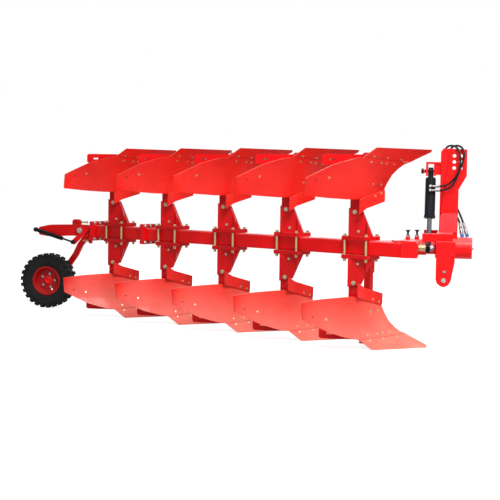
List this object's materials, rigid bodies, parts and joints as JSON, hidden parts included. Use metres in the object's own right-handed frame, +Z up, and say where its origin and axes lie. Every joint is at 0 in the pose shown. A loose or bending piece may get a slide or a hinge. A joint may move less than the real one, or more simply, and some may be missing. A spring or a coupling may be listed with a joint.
{
  "type": "reversible mouldboard plough",
  "caption": "Mounted reversible mouldboard plough with turnover headstock, diagonal beam, mirrored upper and lower bodies, depth wheel and parking stand.",
  "frame": {"origin": "on the ground, under the middle of the whole plough", "axes": "+X forward, the way it is pulled; +Y left; +Z up"},
  "size_m": [4.868, 2.404, 1.7982],
  "materials": {
    "red_paint": "gloss",
    "black_paint": "satin",
    "bright_zinc": "satin",
    "yellow_zinc": "satin",
    "chromed_rod": "gloss",
    "tyre": "matte",
    "hose_rubber": "matte",
    "coupler_plastic": "satin"
  },
  "bodies": {
    "headstock": {"bearing_housing": "red_paint", "coupler_caps": "coupler_plastic", "couplers": "bright_zinc", "cross_member": "red_paint", "cylinder_bracket": "red_paint", "hose_front": "hose_rubber", "hose_rear": "hose_rubber", "link_bracket_left": "red_paint", "link_bracket_right": "red_paint", "link_pins": "bright_zinc", "tower": "red_paint"},
    "turn_barrel": {"turn_cylinder_barrel": "black_paint", "cylinder_fittings": "bright_zinc"},
    "turn_rod": {"turn_cylinder_rod": "chromed_rod"},
    "wheel_arm": {"wheel_arm": "red_paint"},
    "wheel": {"tyre": "tyre", "rim": "red_paint", "wheel_hub": "red_paint", "wheel_nuts": "bright_zinc"},
    "damper_barrel": {"damper_barrel": "black_paint"},
    "damper_rod": {"damper_rod": "chromed_rod"},
    "stand": {"stand_leg": "red_paint"},
    "plough_frame": {"clamp_bolts": "yellow_zinc", "landsides_left": "red_paint", "landsides_right": "red_paint", "leg_carrier_1": "red_paint", "leg_carrier_2": "red_paint", "leg_carrier_3": "red_paint", "leg_carrier_4": "red_paint", "leg_carrier_5": "red_paint", "main_beam": "red_paint", "mouldboards_1": "red_paint", "mouldboards_2": "red_paint", "mouldboards_3": "red_paint", "mouldboards_4": "red_paint", "mouldboards_5": "red_paint", "rear_beam": "red_paint", "shanks_1": "red_paint", "shanks_2": "red_paint", "shanks_3": "red_paint", "shanks_4": "red_paint", "shanks_5": "red_paint", "shares_left": "red_paint", "shares_right": "red_paint", "stand_sleeve": "red_paint", "stop_screws": "black_paint", "trashboards_left": "red_paint", "trashboards_right": "red_paint", "turnover_arm": "red_paint", "turnover_shaft": "red_paint", "wheel_bracket": "red_paint", "wheel_stop_bolts": "yellow_zinc"}
  },
  "joints": [
    {"name": "turnover", "type": "hinge", "parent": "headstock", "child": "plough_frame", "pos_m": [1.446, -0.44898, 0.875], "axis": [-1, 0, 0], "range_deg": [0, 180]},
    {"name": "turn_cylinder_swing", "type": "hinge", "parent": "headstock", "child": "turn_barrel", "pos_m": [2.038, -0.44898, 1.558], "axis": [1, 0, 0], "range_deg": [0, 13.98]},
    {"name": "turn_cylinder_slide", "type": "slide", "parent": "turn_barrel", "child": "turn_rod", "axis": [0, 0.2415, 0.9704], "range_m": [0, 0.191]},
    {"name": "wheel_lift", "type": "hinge", "parent": "plough_frame", "child": "wheel_arm", "pos_m": [-1.689, -0.44898, 0.875], "axis": [0, 1, 0], "range_deg": [0, 104.5]},
    {"name": "wheel_spin", "type": "hinge", "parent": "wheel_arm", "child": "wheel", "pos_m": [-2.134, -0.44898, 0.3], "axis": [0, 1, 0], "continuous": true},
    {"name": "damper_swing", "type": "hinge", "parent": "plough_frame", "child": "damper_barrel", "pos_m": [-2.177, 0.77602, 0.875], "axis": [0, -1, 0], "range_deg": [0, 16.65]},
    {"name": "damper_slide", "type": "slide", "parent": "damper_barrel", "child": "damper_rod", "axis": [-0.9581, 0, 0.2865], "range_m": [0, 0.0918]},
    {"name": "stand_slide", "type": "slide", "parent": "plough_frame", "child": "stand", "axis": [0, 0, 1], "range_m": [0, 0.35]}
  ],
  "couplings": [
    {"joint": "turn_cylinder_slide", "follows": "turn_cylinder_swing", "m_per_rad": 0.7823},
    {"joint": "damper_slide", "follows": "damper_swing", "m_per_rad": 0.3151}
  ]
}
